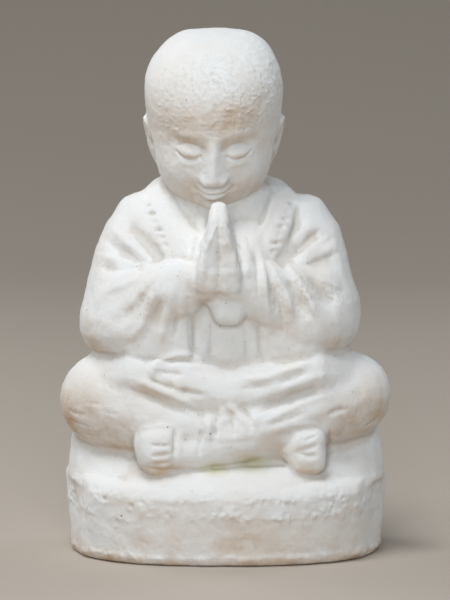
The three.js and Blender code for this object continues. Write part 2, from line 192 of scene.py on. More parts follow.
def head_place(x, y, z):
    """A place on the bowed head, from its own upright axes."""
    return HEAD_AT + HEAD_TURN @ Vector((x, y, z))


ball = bmesh.ops.create_uvsphere(shells, u_segments=96, v_segments=64, radius=1)["verts"]
away = np.array([v.co.normalized() for v in ball])
for vert, direction, reach in zip(ball, away, head_radius(away)):
    vert.co = head_place(*(direction * reach)) * MM

# ---- The ears ----
# Each ear is a thin shell with a raised rim, a hollow inside it and a long soft lobe.
EAR_AT = (32.6, 1, -14)
EAR_FLARE = math.radians(40)
EAR_LEAN = 0.22  # how much an ear leans out towards its top
EAR_PROUD = 1.4  # mm that its rim stands out from its face


def ear_place(side, along, up, out):
    """A place on an ear: along its width towards the back, up, and out from its face."""
    lean = EAR_LEAN * (up - 8)
    x = EAR_AT[0] + lean + along * math.sin(EAR_FLARE) + out * math.cos(EAR_FLARE)
    y = EAR_AT[1] + along * math.cos(EAR_FLARE) - out * math.sin(EAR_FLARE)
    return head_place(side * x, y, EAR_AT[2] + up)


EAR_RIM = [(-7.5, 7, 1.4), (-5, 11, 1.7), (-0.5, 13.2, 2), (4, 12.4, 2.1), (7, 8, 2.1), (7.2, 1, 2)]
EAR_LOBE = [(7.2, 1, 2), (5.6, -6, 2.1), (3.8, -13, 2.5), (1.2, -19, 2.6), (-1.6, -21.5, 2.2)]
EAR_FOLD = [(-5, 6, 1.2), (-0.5, 5.6, 1.4), (2.4, 1, 1.4), (0.6, -6, 1.7), (-2, -9, 1.8)]
for side in (-1, 1):
    for line in (EAR_RIM, EAR_LOBE, EAR_FOLD):
        roll(*[(*ear_place(side, along, up, EAR_PROUD), r) for along, up, r in line])

# ---- The hands ----
# The palms are pressed together under the chin, so that the outer edges of the two hands and
# their little fingers face the front, with the longer fingers behind them.
PALMS_X = -4
FINGERS = [
    [(2.7, -51, 200.4, 1.9), (3, -51.6, 191, 2.8), (5, -52, 178, 4.2), (8, -52, 162, 5.6)],
    [(2.4, -46, 198, 2.5), (3.8, -46, 187, 3.6), (8, -46, 170, 5.5)],
    [(1.3, -56.6, 191, 1.7), (4.2, -58.8, 183, 2), (7.2, -59, 175, 2.4), (8.6, -57.6, 165, 3.6)],
    [(8.6, -57.6, 165, 3.6), (9, -54.5, 156, 4.4)],
    [(1.7, -55, 184, 2.2), (3, -56, 174, 3.3), (3.8, -56.4, 164, 4.3), (4, -54.6, 156, 4.8)],
]
for side in (-1, 1):
    for finger in FINGERS:
        roll(*[(PALMS_X + side * x, y, z, r) for x, y, z, r in finger])

# ---- The cuffs ----
# The wide sleeves end in cuffs that lie against the heels of the hands, and the cloth runs
# without a gap from the chest over the cuffs to the hands.
CUFFS = {
    -1: [(-12.6, -34, 184, 3.2), (-14.6, -46, 172, 4.2), (-15.4, -51, 162, 4.6), (-15.6, -49, 152, 4.4)],
    1: [(9.4, -37, 179, 4), (10, -46, 171, 5), (10.6, -51, 163, 5.4), (11, -49.4, 152, 5)],
}
WEB_TOPS = {
    -1: [(-26, -25, 189, 4.5), (-13, -26, 190, 4)],
    1: [(20, -24, 189, 4.5), (6, -25, 190, 4)],
}
WEB_ENDS = {
    -1: [(-24, -41, 165, 5.4), (-17, -46.5, 165, 5), (-20, -44, 152, 5)],
    1: [(18, -43, 165, 5.4), (9.6, -48, 166, 5), (15.5, -45.6, 152, 5)],
}
HEEL = [(-11, -49, 153, 5), (11, -49, 153, 5), (-9, -46.6, 149, 4.4), (10, -46.6, 149, 4.4)]
for cuff in CUFFS.values():
    roll(*cuff)
for side in (-1, 1):
    pebble(*WEB_TOPS[side], *WEB_ENDS[side])
pebble(*HEEL)

# ---- The sash ----
# Under the hands hang two flat bands with a soft knot between them, over the belly. They are part
# of the casting and lie close on the robe.
KNOT = [(-6, -46.4, 151.6, 6.2), (8.4, -46, 151.6, 6.2), (-2, -47.6, 140, 6.2), (4.6, -47, 139.6, 6.2)]
BELLY = [(-10, -40, 112, 2.4), (11, -40, 111, 2.4), (-10, -40, 150, 2.4), (11, -40, 150, 2.4)]
BANDS = [[(-13.9, 151), (-13.8, 132), (-14.2, 112)], [(14.1, 149), (14.2, 130), (14.6, 111)]]
BAND_HALF = 3
BAND_Y = -41.4
BAND_ROUND = 1.6
pebble(*KNOT)
pebble(*BELLY)
for band in BANDS:
    for ends in zip(band, band[1:]):
        pebble(*[(x + out, BAND_Y, z, BAND_ROUND) for x, z in ends for out in (-BAND_HALF, BAND_HALF)])

# ---- The right foot ----
# It reaches down to the base and is square at its outer edge, so it is filled out to a rounded
# block here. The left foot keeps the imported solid's form.
FOOT = [
    (42, -46.6, 69, 8),
    (48.6, -46, 69.4, 7.4),
    (38, -44.6, 64, 8.6),
    (42, -46, 57, 8),
    (49, -46.6, 57, 7),
]
pebble(*FOOT)

# ---- The hanging sleeves ----
# The sleeves hang straight down beside the sash, and a thick hem rests on the lap without a gap.
DRAPES = {
    -1: [
        (-24, -45, 146, 4.6),
        (-23, -43.2, 118, 4),
        (-40, -45, 140, 5),
        (-44, -43.4, 118, 4.6),
        (-52, -41.6, 119, 4.6),
        (-54, -43, 134, 5),
    ],
    1: [
        (22, -43.4, 141, 4.4),
        (23, -41.4, 114, 4.4),
        (38, -44.2, 138, 5),
        (44, -42, 115, 4.6),
        (52, -38.4, 117, 4.6),
        (54, -41.4, 134, 5),
    ],
}
RESTS = {
    -1: [(-60, -26, 113, 4), (-50, -32, 113, 4.6), (-36, -36.6, 113, 4.6), (-25, -38.5, 113, 4)],
    1: [(48, -29, 115, 3.4), (38, -34.5, 114, 3.8), (30, -37, 114, 3.8), (22, -38.6, 114, 3.2)],
}
for drape in DRAPES.values():
    pebble(*drape)
for rest in RESTS.values():
    roll(*rest)

# ---- The fine skin ----
# Everything above is one casting, so one fine skin goes over all of it. The carver's work is then
# laid on that skin as strokes and swellings, as a tool or a thumb would leave them.
FINE_SKIN = 1.05  # mm between its points
FINE_RUBS = 4
FROM_FRONT = (0, 1, 0)  # the ways that marks are looked at
FROM_BACK = (0, -1, 0)
FAR_OUT = 200  # mm, outside the statue on every side
STROKE_REACH = 1.6  # how far a stroke is felt, as a share of its half width
STROKE_CORE = 0.62  # the share of its half width at which it has faded to a third
END_WIDTH = 0.45  # what is left of its width and depth at its ends
END_DEPTH = 0.15

cast_mesh = skin_over(shells, FINE_SKIN, FINE_RUBS)


class Skin:
    """The casting's points and normals in mm, moved by strokes and swellings."""

    def __init__(self, mesh):
        self.mesh = mesh
        self.points = np.zeros(len(mesh.vertices) * 3)
        mesh.vertices.foreach_get("co", self.points)
        self.points = self.points.reshape(-1, 3) / MM
        self.settle()

    def settle(self):
        """Takes the moves so far into the mesh, its normals and the tree that marks are laid on."""
        self.mesh.vertices.foreach_set("co", (self.points * MM).ravel())
        self.mesh.update()
        self.normals = np.zeros(len(self.points) * 3)
        self.mesh.vertices.foreach_get("normal", self.normals)
        self.normals = self.normals.reshape(-1, 3)
        self.mesh.calc_loop_triangles()
        corners = np.zeros(len(self.mesh.loop_triangles) * 3, int)
        self.mesh.loop_triangles.foreach_get("vertices", corners)
        self.tree = BVHTree.FromPolygons(self.points.tolist(), corners.reshape(-1, 3).tolist())

    def laid(self, marks, look):
        """Marks seen along a level direction, laid on the skin as a smooth line of places."""
        marks = np.array(marks, float)
        padded = np.vstack([2 * marks[0] - marks[1], marks, 2 * marks[-1] - marks[-2]])
        line = []
        for p0, p1, p2, p3 in zip(padded, padded[1:], padded[2:], padded[3:]):
            steps = max(2, int(np.linalg.norm(p2 - p1)))
            for t in np.arange(steps) / steps:
                line.append(
                    p1
                    + 0.5 * t * (p2 - p0)
                    + t * t * (p0 - 2.5 * p1 + 2 * p2 - 0.5 * p3)
                    + t**3 * (1.5 * (p1 - p2) + 0.5 * (p3 - p0))
                )
        line.append(marks[-1])
        places = []
        outs = []
        for across, z in line:
            x = across * abs(look[1]) - FAR_OUT * look[0]
            y = across * abs(look[0]) - FAR_OUT * look[1]
            place, out, *_ = self.tree.ray_cast((x, y, z), look)
            if place is not None:
                places.append(place)
                outs.append(out)
        return np.array(places), np.array(outs)

    def stroke(self, wide, lift, marks, sharp=2.0, fade=0.3, look=FROM_FRONT):
        """A fold, where lift is above 0, or a furrow, below it. wide is its half width, sharp near 1
        makes a crease, and look is the way the marks are looked at."""
        places, outs = self.laid(marks, look)
        reach = wide * STROKE_REACH
        low, high = places.min(0) - reach, places.max(0) + reach
        near = np.flatnonzero(((self.points > low) & (self.points < high)).all(1))
        gaps = self.points[near][:, None, :] - places[None, :, :]
        far = np.linalg.norm(gaps, axis=2)
        nearest = far.argmin(1)
        away = far[np.arange(len(near)), nearest]
        keep = (away < reach) & ((self.normals[near] * outs[nearest]).sum(1) > 0.1)
        near, nearest, away = near[keep], nearest[keep], away[keep]
        along = nearest / (len(places) - 1)
        ease = np.clip(np.minimum(along, 1 - along) / fade, 0, 1)
        ease = ease * ease * (3 - 2 * ease)
        width = wide * (END_WIDTH + (1 - END_WIDTH) * ease)
        form = np.exp(-((away / (STROKE_CORE * width)) ** sharp))
        push = lift * (END_DEPTH + (1 - END_DEPTH) * ease) * form
        self.points[near] += self.normals[near] * push[:, None]

    def swell(self, place, spread, lift, facing=(0, 0, 0)):
        """A soft swelling or hollow round a place, with its spread along X, Y and Z. Facing, where
        it is given, keeps it to skin that is turned that way."""
        gaps = (self.points - np.array(place)) / np.array(spread)
        push = lift * np.exp(-(gaps**2).sum(1))
        if any(facing):
            push = push * np.clip(self.normals @ np.array(facing), 0, 1)
        self.points += self.normals * push[:, None]


skin = Skin(cast_mesh)

# ---- The robe ----
# The cloth is carved: folds fan out from the crook of each elbow over the sleeves, the collar
# lies in two wide bands, and the skirt is drawn in ridges over the thighs and shins.
# Each stroke is its half width, its lift and its marks as (x, z), all in mm.
LEFT_SLEEVE = [
    (9, -1.6, [(-57, 192), (-49, 184), (-42, 176), (-37, 170)]),
    (3.6, 1.0, [(-66, 187), (-57, 179), (-48, 172), (-39, 168)]),
    (5.4, -2.3, [(-71, 180), (-61, 175), (-51, 170), (-42, 167.5)]),
    (3.2, 0.9, [(-73, 170), (-60, 169), (-48, 167)]),
    (4, -1.5, [(-73, 164), (-62, 164), (-52, 165.5), (-45, 166.5)]),
    (4, 1.1, [(-42, 164), (-54, 157), (-66, 152)]),
    (3.6, 1.1, [(-38, 163), (-48, 151), (-58, 139)]),
    (7.4, -1.0, [(-44, 153), (-52, 144), (-60, 137)]),
    (4, 1.2, [(-36, 161), (-41, 148), (-47, 134), (-55, 124)]),
    (6.6, -1.1, [(-34, 152), (-38, 141), (-43, 130)]),
    (3.4, 1.0, [(-29, 163), (-31, 150), (-34, 134), (-38, 120)]),
    (3, -1.1, [(-25.5, 166), (-26.5, 150), (-28, 134), (-30, 118)]),
    (2.4, -1.0, [(-20.6, 166), (-20.6, 146), (-20.2, 128), (-20, 118)]),
]
RIGHT_SLEEVE = [
    (6, -1.4, [(45, 193), (38, 183), (34, 173)]),
    (3.4, -2.0, [(53, 185), (45, 178), (36, 170)]),
    (3.6, 1.2, [(60, 182), (48, 174.5), (37, 168.5)]),
    (5, -1.9, [(64, 172), (54, 169), (43, 166)]),
    (3.6, 1.9, [(34, 168), (41, 157), (47, 146), (53, 132)]),
    (6.4, -2.0, [(44, 163), (54, 153.5), (65, 143)]),
    (2.6, 0.8, [(50, 161), (58, 156), (66, 151)]),
    (4.4, -2.0, [(33, 162), (39, 151), (45, 140)]),
    (3, 1.4, [(24, 169), (30, 158), (34.5, 150), (38, 135)]),
    (2.6, -1.6, [(22, 165), (26.5, 153), (30, 141), (31, 128)]),
    (2.8, 1.1, [(17.5, 179), (20.8, 166), (22.8, 150), (24, 134), (23, 120)]),
    (2, -1.0, [(15.4, 177), (17.4, 165), (18, 150)]),
    (1.8, -0.9, [(-8.6, 136), (-8.8, 124), (-9, 113)]),
    (1.8, -0.9, [(10.2, 135), (10.4, 124), (10.8, 112)]),
]
LAP = [
    (3.4, 1.7, [(-10, 113), (-20, 116.5), (-31, 116), (-39, 111.5), (-40.5, 105.5), (-33, 101)]),
    (3.8, -1.7, [(-38, 107.5), (-31, 107.5), (-23, 106)]),
    (3, 1.0, [(-33, 111.5), (-22, 110.5), (-11, 109.5)]),
    (3, -1.6, [(-28, 98), (-20, 96.5), (-11, 95.5)]),
    (4, -1.1, [(-57, 100), (-44, 94), (-30, 87.5), (-16, 81)]),
    (4, 1.3, [(-52, 104), (-38, 98.5), (-26, 93), (-15, 87)]),
    (3, -1.4, [(-45, 104), (-36, 101), (-27, 98)]),
    (3.4, 1.4, [(7, 104), (21, 105), (35, 109), (49, 113)]),
    (3, -1.2, [(27, 101.4), (38, 104.4), (47, 108.4)]),
    (3, -0.8, [(8, 108), (20, 107), (30, 108)]),
    (3, -1.0, [(6, 98), (16, 99.5), (26, 101)]),
    (5, 1.3, [(8, 91), (24, 95.5), (40, 101.5), (55, 106)]),
]
SHINS = [
    (4.6, -1.4, [(16, 84), (30, 91), (45, 97), (56, 99)]),
    (3.4, 1.3, [(18, 79.5), (32, 85.5), (45, 91), (58, 94)]),
    (2.8, -1.0, [(22, 77.6), (35, 82), (46, 86)]),
    (2.4, -1.4, [(56, 83), (62, 85.5), (68, 86)]),
]
HEM = [
    (3, 1.2, [(-9, 84), (-9.5, 76), (-9.5, 68)]),
    (3.2, 1.3, [(-3.4, 90), (-1.6, 83), (-2, 77)]),
    (3.2, 1.4, [(-1, 91), (6, 85), (11, 78)]),
    (2.6, 0.9, [(15.5, 86), (17, 78)]),
    (2.2, -1.2, [(-13.4, 82), (-13, 70)]),
    (2.2, -1.4, [(-5.6, 84), (-5.4, 71)]),
    (2.4, -1.3, [(2, 83), (4, 76), (5, 71)]),
    (2.2, -1.2, [(9, 88), (13.4, 82), (13, 74)]),
    (3.4, -0.6, [(-14, 70), (0, 69), (18, 71)]),
    (1.9, -1.3, [(-28.6, 78), (-28.8, 69), (-28.6, 60)]),
    (2.2, 0.7, [(-25.5, 78), (-25.5, 69), (-25.5, 60)]),
    (1.9, -1.3, [(-14.6, 80), (-15, 68), (-14.6, 57)]),
    (1.8, -1.8, [(-10, 55), (-5, 54.4), (1, 55)]),
    (1.8, -1.8, [(9, 55.6), (15, 56), (21, 56.4)]),
    (4, -1.8, [(-48, 55), (-36, 53), (-25, 54)]),
    (1.8, 0.8, [(-49, 76), (-38, 78), (-29, 78.4)]),
    (1.8, 0.8, [(-49.6, 75), (-50.4, 68), (-50, 60)]),
    (1.8, 0.7, [(36, 78), (46, 79), (53, 78)]),
    (2.6, -1.6, [(58, 76), (58.6, 66), (58, 56)]),
]
BACK = [
    (8, -1.2, [(-20, 190), (-15, 160), (-17, 130), (-24, 104)]),
    (8, -1.1, [(22, 188), (17, 158), (20, 128), (29, 102)]),
    (7, 1.0, [(-4, 196), (0, 165), (-2, 130), (2, 100)]),
    (6, 0.9, [(-33, 185), (-30, 155), (-35, 118)]),
    (6, 0.9, [(35, 184), (32, 154), (38, 118)]),
    (6, -1.1, [(-56, 92), (-30, 84), (0, 81), (30, 84), (56, 92)]),
]
for wide, lift, marks in BACK:
    skin.stroke(wide, lift, marks, look=FROM_BACK)
for group in (LEFT_SLEEVE, RIGHT_SLEEVE, LAP, SHINS, HEM):
    for wide, lift, marks in group:
        skin.stroke(wide, lift, marks, sharp=1.5 if lift < 0 else 2)
skin.settle()

# ---- The face ----
# Laid out on the head in degrees from its middle, out to each side and up from the level, and
# cut with a fine point: so the skin of face and hands is first made twice as fine.
FACE_OUT = 68  # degrees each way that the face reaches before the ears
FINE_OUT = 62  # the part of it whose skin is made finer, in degrees and mm
FINE_RISE = (-60, 40)
FINE_FAR = 56
FINE_HANDS = np.array([(-24, -80, 148), (18, -38, 206)])  # and the box round the hands, in mm


def head_angles(points):
    """Directions from the middle of the head, with how far out, how high and how far away."""
    away = (points - np.array(HEAD_AT)) @ np.array(HEAD_TURN)
    far = np.linalg.norm(away, axis=1)
    away = away / far[:, None]
    out = np.degrees(np.arctan2(np.abs(away[:, 0]), -away[:, 1]))
    rise = np.degrees(np.arcsin(np.clip(away[:, 2], -1, 1)))
    return away, out, rise, far


def refined(mesh, chosen):
    """The mesh with every chosen face cut in four."""
    work = bmesh.new()
    work.from_mesh(mesh)
    work.faces.ensure_lookup_table()
    edges = {edge for index in chosen for edge in work.faces[index].edges}
    bmesh.ops.subdivide_edges(work, edges=list(edges), cuts=1, use_grid_fill=True)
    work.to_mesh(mesh)
    work.free()
    return mesh


centres = np.zeros(len(cast_mesh.polygons) * 3)
cast_mesh.polygons.foreach_get("center", centres)
centres = centres.reshape(-1, 3) / MM
_, out, rise, far = head_angles(centres)
on_face = (out < FINE_OUT) & (rise > FINE_RISE[0]) & (rise < FINE_RISE[1]) & (far < FINE_FAR)
on_hands = ((centres > FINE_HANDS[0]) & (centres < FINE_HANDS[1])).all(1)
skin = Skin(refined(cast_mesh, np.flatnonzero(on_face | on_hands)))


def soft(out, rise, at, spread, lift):
    """A soft swelling or hollow on both halves of the face."""
    return lift * np.exp(-(((out - at[0]) / spread[0]) ** 2) - ((rise - at[1]) / spread[1]) ** 2)


def cut(out, rise, marks, wide, lift):
    """A fine line on both halves of the face, through its marks."""
    depth = np.zeros(len(out))
    for (x0, z0), (x1, z1) in zip(marks, marks[1:]):
        length = math.hypot(x1 - x0, z1 - z0)
        share = ((out - x0) * (x1 - x0) + (rise - z0) * (z1 - z0)) / length**2
        share = np.clip(share, 0, 1)
        gap = np.hypot(out - x0 - share * (x1 - x0), rise - z0 - share * (z1 - z0))
        depth = np.maximum(depth, np.exp(-((gap / wide) ** 2)))
    return lift * depth


def curve_through(marks, steps=6):
    """A parabola through three marks, as short steps."""
    (x0, z0), (x1, z1), (x2, z2) = marks
    line = []
    for i in range(steps + 1):
        t = i / steps
        a, b, c = (1 - t) * (1 - 2 * t), 4 * t * (1 - t), t * (2 * t - 1)
        line.append((a * x0 + b * x1 + c * x2, a * z0 + b * z1 + c * z2))
    return line


# Each form of the face: its middle out and up, its spread and its lift in mm.
FACE_FORMS = {
    "brow": ((18, 7), (12, 4), 1.0),
    "eye socket": ((20, -1), (12, 5), -1.5),
    "beside the nose": ((9, -4), (5, 6), -0.9),
    "eyelid": ((20, -6.5), (9, 4.6), 1.7),
    "under the eye": ((20, -15), (9, 2.2), 0.5),
    "wing of the nose": ((7.4, -24), (3.1, 3), 2.1),
    "nostril": ((3.8, -27.6), (1.8, 1.2), -1.3),
    "over the lip": ((0, -30.5), (1.7, 2.2), -0.5),
    "corner of the mouth": ((15, -32.6), (2.4, 2.6), -0.8),
    "under the lip": ((0, -43.5), (9, 3.2), -1.2),
    "chin": ((0, -52), (11, 8), 2.8),
    "cheek": ((33, -24), (13, 11), 1.8),
}
LID_LINE = [(10.5, -8.6), (20, -11.8), (30.5, -8.2)]
LID_FOLD = [(10, -3), (19.5, 0.4), (30, -3.4)]
LINE_WIDE = 1.2
NOSE_RISES = (-28.5, -27, -25.5, -22, -15, -5, 2, 8)
NOSE_LIFTS = (0, 2.2, 5, 6.6, 5, 3, 1.3, 0)
MOUTH_RISE = -35.4
MOUTH_CURVE = 0.008


def face_relief(out, rise):
    """How far the face stands out from the plain head."""
    nose_up = np.interp(rise, NOSE_RISES, NOSE_LIFTS)
    nose_wide = np.interp(rise, (-28, -22, -15, -5, 8), (9.4, 8.6, 6, 4.8, 8))
    relief = nose_up * np.exp(-((out / nose_wide) ** 2))
    for at, spread, lift in FACE_FORMS.values():
        relief += soft(out, rise, at, spread, lift)
    relief += cut(out, rise, curve_through(LID_LINE), LINE_WIDE, -0.85)
    relief += cut(out, rise, curve_through(LID_FOLD), LINE_WIDE, -0.35)
    over = rise - MOUTH_RISE - MOUTH_CURVE * out**2
    relief += 2.0 * np.exp(-(((over - 2) / 2.1) ** 2)) * np.clip(1 - (out / 14) ** 2, 0, 1)
    relief += 2.4 * np.exp(-(((over + 2.4) / 2.5) ** 2)) * np.clip(1 - (out / 11.5) ** 2, 0, 1)
    relief -= 1.5 * np.exp(-((over / 0.85) ** 2)) * np.clip(1 - (out / 15) ** 4, 0, 1)
    return relief


away, out, rise, far = head_angles(skin.points)
wanted = head_radius(away) + face_relief(out, rise)
facing = ((skin.normals @ np.array(HEAD_TURN)) * away).sum(1)
# Only skin that is near the wanted face and turned outwards moves, so the hands are left alone.
hold = np.clip((9.5 - np.abs(far - wanted)) / 2.5, 0, 1) * np.clip((facing - 0.05) / 0.35, 0, 1)
hold *= np.clip((FACE_OUT + 6 - out) / 6, 0, 1) * np.clip((rise + 74) / 8, 0, 1)
move = away * ((wanted - far) * hold)[:, None]
skin.points += move @ np.array(HEAD_TURN).T
skin.settle()

# ---- The carver's point on hands, ears, collar and feet ----
# Fine grooves part the fingers and toes and hollow out the ears, a row of worn pits follows each
# collar band, and a few old scratches cross the knees. An ear's marks are along it and up.
HANDS = [
    (1.5, 0.8, [(-4.6, 192), (-8, 184), (-11.4, 175)]),
    (1.5, 0.9, [(-3.2, 192), (0.4, 184), (3.6, 176)]),
    (2.4, -0.6, [(-4, 186), (-4, 178), (-4, 168)]),
    (1.4, -0.4, [(PALMS_X, 199), (PALMS_X, 180), (PALMS_X, 160)]),
    (1.4, -1.2, [(0.4, 193), (3.2, 186), (6.2, 178.5), (6.6, 166)]),
    (1.4, -1.0, [(-8.8, 193), (-11, 185), (-13, 175), (-13.6, 164)]),
]
for wide, lift, marks in HANDS:
    skin.stroke(wide, lift, marks, fade=0.15)
BEFORE_EAR = (-9, -3)  # the head is hollowed a little here, so that the ear stands free
EARS = [
    (2.2, 1.5, [(-6.4, 2), (-6.6, 7), (-4, 11.6), (0, 13.4), (4, 12.4)]),
    (1.9, -1.8, [(-4.2, 5), (-2.8, 8.8), (0.6, 9.8), (3.6, 7.6), (4.2, 2), (3, -5), (1.4, -12)]),
    (3, -2.3, [(-3.2, 3.4), (-2, -0.6), (-2.6, -5)]),
    (1.7, 0.9, [(-6.6, 0), (-6.8, -4.4)]),
    (2.2, -1, [(-4.6, -9), (-4.4, -15), (-3.4, -21)]),
]
for side in (-1, 1):
    skin.swell(ear_place(side, *BEFORE_EAR, 0), (9, 8, 14), -3.2, facing=(side, 0, 0))
skin.settle()
for side in (-1, 1):
    for wide, lift, marks in EARS:
        seen = [ear_place(side, along, up, EAR_PROUD).yz for along, up in marks]
        skin.stroke(wide, lift, seen, fade=0.2, look=(-side, 0, 0))
COLLAR = [
    (3, -1.2, [(-35, 211), (-27, 199), (-18, 188), (-12, 181)]),
    (3, -1.4, [(27, 210), (22, 196), (16.6, 184)]),
    (3.4, -1.6, [(44, 202), (40, 194), (39, 186), (34, 178)]),
    (5, -0.7, [(-56, 189), (-49, 181), (-41, 173), (-32, 169)]),
    (2.4, 0.8, [(-32, 208), (-24, 196), (-16, 187)]),
    (2.4, 0.9, [(30, 208), (25, 196), (18, 180)]),
]
for wide, lift, marks in COLLAR:
    skin.stroke(wide, lift, marks)
SCRATCHES = [
    (1.2, -0.7, [(-90, 84), (-83, 82), (-77, 82)]),
    (1.4, -0.8, [(-89, 78), (-82, 76), (-74, 75)]),
    (1.2, -0.6, [(-84, 71), (-76, 69.5), (-69, 70)]),
    (1.2, -0.6, [(-72, 86), (-64, 84), (-57, 84.5)]),
    (1.0, -0.5, [(-80, 90), (-74, 88.6), (-69, 89)]),
    (1.3, -0.6, [(76, 74), (82, 76.4), (87, 80)]),
]
for wide, lift, marks in SCRATCHES:
    skin.stroke(wide, lift, marks)
TOES = [
    (1.7, -1.1, [(-43, 67.6), (-37, 67.9), (-31, 67.6)]),
    (1.8, -1.3, [(-42, 61.8), (-36, 62.4), (-30, 63.6)]),
    (1.7, -1.1, [(-43, 57), (-36, 57.6), (-30, 58.2)]),
    (1.5, -0.9, [(42, 69.4), (46.6, 71), (51.4, 73)]),
    (1.8, -1.2, [(37.6, 63.6), (44, 65), (51.6, 67.6)]),
    (1.8, -1.1, [(38.2, 62.8), (44.4, 61.6), (51, 60.8)]),
]
for wide, lift, marks in TOES:
    skin.stroke(wide, lift, marks, fade=0.2)
LEFT_PITS = [(-44, 198), (-41.6, 193.6), (-40, 189), (-37.6, 185), (-36, 181), (-33.4, 176.6)]
RIGHT_PITS = [(37, 199), (35, 195), (33.6, 191), (31.4, 187), (29.6, 182.6), (28, 178.4), (26.4, 174)]
for number, (x, z) in enumerate(LEFT_PITS + RIGHT_PITS):
    places, _ = skin.laid([(x - 0.1, z), (x + 0.1, z)], FROM_FRONT)
    uneven = 0.7 * math.sin(2.4 * number)
    skin.swell(places[0], (2.4 + uneven, 2.6, 1.3 - 0.3 * uneven), -1.3 - 0.8 * uneven)
skin.settle()

# ---- The base's crust ----
# The lower wall took the mould's smooth side. The upper band was filled last and stands a little
# proud of it, with a ragged lower edge, pits and chips, and a thin rough lip runs round the foot.
BAND_LOW = 25.5
BAND_HIGH = 44
CRUST_HIGH = 58  # nothing above this is crusted
FOOT_LIP = 4.5
UNDERSIDE = 0.4
below = np.flatnonzero(skin.points[:, 2] < CRUST_HIGH)
for index in below:
    x, y, z = skin.points[index]
    nx, ny, nz = skin.normals[index]
    if nz < -0.8 or z < UNDERSIDE:
        continue
    at = Vector((x, y, z))
    # The band, between its ragged lower edge and its top, which runs higher towards the back.
    edge = BAND_LOW + 3 * noise.noise(Vector((x / 15, y / 15, 7))) + 2.4 * noise.noise(at / 2.8)
    top = BAND_HIGH + 5 * min(1, max(0, 1 + y / 65))
    band = min(1, max(0, (z - edge) / 2.2)) * min(1, max(0, (top - z) / 5))
    # Grit and chips, which come in patches along it.
    patch = min(1, max(0, 0.45 + 1.8 * noise.noise(Vector((x / 17, y / 17, z / 9 + 3)))))
    crust = 0.1 + patch * (0.35 + 0.6 * noise.noise(at / 5.5) + 0.8 * noise.noise(at / 2.2))
    chip = max(0, noise.noise(Vector((x / 6, y / 6, z / 3.4)) + Vector((9, 0, 0))) - 0.34)
    # The lip round the foot, with small bites out of the very edge.
    lip = max(0, 1 - abs(z - FOOT_LIP - 1.5 * noise.noise(at / 7)) / 2.4)
    lip *= max(0, 0.5 + 1.1 * noise.noise(at / 6) + 0.9 * noise.noise(at / 2.2))
    foot_chip = max(0, noise.noise(Vector((x / 8, y / 8, 3))) - 0.1) * max(0, 1 - z / 4.5)
    # All of it stands out from the wall, and not at all from what lies level.
    push = band * (crust - 2.2 * chip * patch) + lip - 2.6 * foot_chip + 0.3 * noise.noise(at / 9)
    upright = math.sqrt(max(0, 1 - nz * nz))
    skin.points[index] += np.array((nx, ny, 0.3 * nz)) * push * upright
skin.settle()

# ---- The finish of the casting ----
# Hand-rubbed chalky stone: it undulates softly all over, and on the skull and brow the coat is
# lumpy where it was patched. The mesh is then thinned to what the library takes.
RUBS = [(0.34, 11), (0.2, 4.2), (0.14, 1.9)]  # depth and size of each unevenness, in mm
# Each patch is the way it faces on the head, how near to that it reaches and how rough it is.
PATCHES = [(-0.05, -0.9, 0.3, 0.62, 0.34), (0.5, -0.5, 0.7, 0.78, 0.62), (0.72, -0.62, 0.2, 0.8, 0.5)]
away, out, rise, far = head_angles(skin.points)
patched = np.zeros(len(away))
for *facing, near, rough in PATCHES:
    facing = np.array(facing) / np.linalg.norm(facing)
    patched = np.maximum(patched, rough * np.clip((away @ facing - near) / (1 - near) * 3, 0, 1))
patched *= (far < 60) * (rise > 9)
rub = np.zeros(len(skin.points))
for index, place in enumerate(skin.points):
    at = Vector(place)
    rub[index] = sum(deep * noise.noise(at / size) for deep, size in RUBS)
    if patched[index] > 0:
        x, y, z = place
        streak = noise.noise(Vector((x / 2.9, y / 2.9, z / 1.6)))
        fleck = noise.noise(at / 1.5 + Vector((5, 0, 0)))
        rub[index] += patched[index] * (max(0, streak - 0.12) + 0.8 * max(0, fleck - 0.15))
rub[skin.points[:, 2] < 0.5] = 0
skin.points += skin.normals * rub[:, None]
skin.settle()

statue = bpy.data.objects.new("cast_statue", cast_mesh)
bpy.context.scene.collection.objects.link(statue)
MOST_TRIANGLES = 196000
triangles = sum(len(face.vertices) - 2 for face in cast_mesh.polygons)
thin = statue.modifiers.new("thin", "DECIMATE")
thin.ratio = min(1, MOST_TRIANGLES / triangles)
seen = statue.evaluated_get(bpy.context.evaluated_depsgraph_get())
statue.data = bpy.data.meshes.new_from_object(seen)
statue.modifiers.clear()
statue.data.shade_smooth()

# ---- Dust, painted shade, rain and soil ----
# Hollows take dust and painted shade, and what faces down takes painted shade with a tan stain.
# The sash under the hands takes less of both.
HOLLOW_ROUNDS = 40  # rounds of smoothing that tell a hollow from its surroundings
HOLLOW_FULL = 1.2  # mm, a hollow that takes the full dust and painted shade
LIGHTER_AT = np.array((2, -46, 137))
LIGHTER_SPREAD = np.array((20, 14, 22))
LIGHTER_SHARE = 0.8
count = len(statue.data.vertices)
points = np.zeros(count * 3)
statue.data.vertices.foreach_get("co", points)
points = points.reshape(-1, 3) / MM
normals = np.zeros(count * 3)
statue.data.vertices.foreach_get("normal", normals)
normals = normals.reshape(-1, 3)
edges = np.zeros(len(statue.data.edges) * 2, int)
statue.data.edges.foreach_get("vertices", edges)
ends = np.concatenate([edges[0::2], edges[1::2]])
others = np.concatenate([edges[1::2], edges[0::2]])
shares = np.bincount(ends, minlength=count)
smoothed = points.copy()
for _ in range(HOLLOW_ROUNDS):
    sums = [np.bincount(ends, smoothed[others, axis], count) for axis in range(3)]
    smoothed = np.stack(sums, axis=1) / shares[:, None]
depth = ((smoothed - points) * normals).sum(1)
kept_dust_and_shade = 1 - LIGHTER_SHARE * np.exp(-(((points - LIGHTER_AT) / LIGHTER_SPREAD) ** 2).sum(1))
